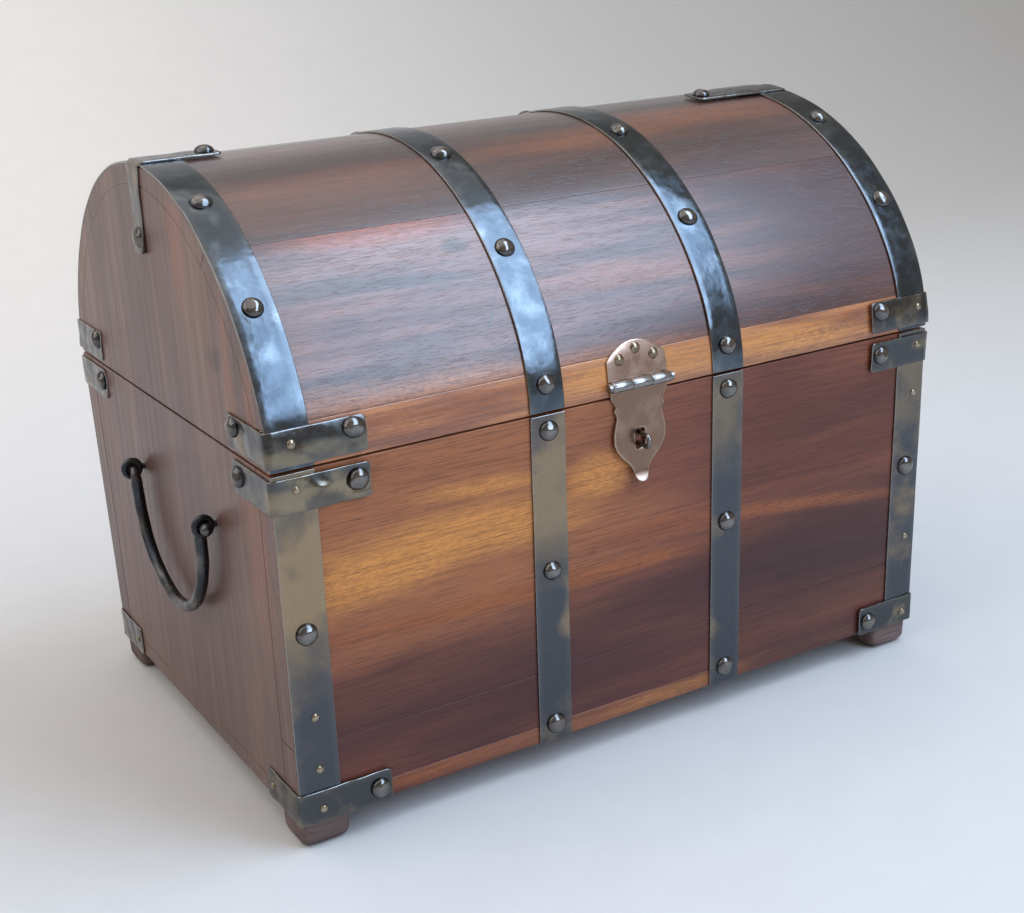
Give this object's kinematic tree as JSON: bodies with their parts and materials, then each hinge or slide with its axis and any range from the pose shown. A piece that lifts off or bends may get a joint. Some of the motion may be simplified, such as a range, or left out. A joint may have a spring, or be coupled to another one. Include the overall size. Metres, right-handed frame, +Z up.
{
  "type": "wooden chest",
  "caption": "Small barrel-lidded wooden chest with iron straps, corner brackets, a hinged lid, a front hasp and staple, and drop handles on both ends.",
  "frame": {"origin": "on the floor under the middle of the chest", "axes": "+Z up, -Y the front with the hasp, +X the right-hand end seen from the front"},
  "size_m": [0.4264, 0.3044, 0.329],
  "materials": {
    "front_wood": "satin varnish, reddish brown with orange ribbon figure",
    "base_wood": "satin varnish",
    "end_wood": "satin varnish, grain upright",
    "foot_wood": "dull stained wood",
    "rail_wood": "satin varnish, orange brown",
    "barrel_wood": "gloss varnish",
    "crown_wood": "gloss varnish, dark brown",
    "strap_iron": "dark burnished sheet iron",
    "stud_iron": "dark polished domes",
    "brass_nail": "small aged brass heads",
    "hasp_bronze": "antique bronze",
    "hinge_bronze": "antique bronze",
    "handle_iron": "black wrought iron",
    "bright_steel": "bright wire"
  },
  "bodies": {
    "box": {"base_board": "base_wood", "front_board_upper": "front_wood", "front_board_lower": "front_wood", "back_board": "front_wood", "left_end_board": "end_wood", "right_end_board": "end_wood", "foot_front_left": "foot_wood", "foot_front_right": "foot_wood", "foot_back_left": "foot_wood", "foot_back_right": "foot_wood", "front_strap_left": "strap_iron", "front_strap_mid_left": "strap_iron", "front_strap_mid_right": "strap_iron", "front_strap_right": "strap_iron", "back_strap_left": "strap_iron", "back_strap_mid_left": "strap_iron", "back_strap_mid_right": "strap_iron", "back_strap_right": "strap_iron", "top_bracket_front_left": "strap_iron", "top_bracket_front_right": "strap_iron", "top_bracket_back_left": "strap_iron", "top_bracket_back_right": "strap_iron", "base_bracket_front_left": "strap_iron", "base_bracket_front_right": "strap_iron", "base_bracket_back_left": "strap_iron", "base_bracket_back_right": "strap_iron", "body_studs": "stud_iron", "body_nails": "brass_nail", "staple": "bright_steel", "hinge_body_leaves": "hinge_bronze", "hinge_pins": "hinge_bronze", "hinge_body_screws": "brass_nail", "handle_eyes": "handle_iron"},
    "lid": {"lid_end_left": "end_wood", "lid_end_right": "end_wood", "lid_front_rail": "rail_wood", "lid_front_board": "barrel_wood", "lid_crown_front": "crown_wood", "lid_crown_back": "crown_wood", "lid_back_board": "barrel_wood", "lid_strap_left": "strap_iron", "lid_strap_mid_left": "strap_iron", "lid_strap_mid_right": "strap_iron", "lid_strap_right": "strap_iron", "lid_bracket_front_left": "strap_iron", "lid_bracket_front_right": "strap_iron", "lid_bracket_back_left": "strap_iron", "lid_bracket_back_right": "strap_iron", "crown_bracket_left": "strap_iron", "crown_bracket_right": "strap_iron", "lid_studs": "stud_iron", "lid_nails": "brass_nail", "hinge_lid_leaves": "hinge_bronze", "hinge_lid_screws": "brass_nail", "hasp_plate": "hasp_bronze", "hasp_screws": "hasp_bronze", "hasp_pin": "bright_steel"},
    "hasp": {"hasp_leaf": "hasp_bronze"},
    "left_handle": {"handle_left": "handle_iron"},
    "right_handle": {"handle_right": "handle_iron"}
  },
  "joints": [
    {"name": "lid_hinge", "type": "hinge", "parent": "box", "child": "lid", "pos_m": [0, 0.147, 0.198], "axis": [-1, 0, 0], "range_deg": [0, 105]},
    {"name": "hasp_hinge", "type": "hinge", "parent": "lid", "child": "hasp", "pos_m": [0.0015, -0.1467, 0.204], "axis": [-1, 0, 0], "range_deg": [0, 170]},
    {"name": "left_handle_swing", "type": "hinge", "parent": "box", "child": "left_handle", "pos_m": [-0.207, -0.007, 0.151], "axis": [0, 1, 0], "range_deg": [-3, 170]},
    {"name": "right_handle_swing", "type": "hinge", "parent": "box", "child": "right_handle", "pos_m": [0.207, -0.007, 0.151], "axis": [0, -1, 0], "range_deg": [-3, 170]}
  ]
}
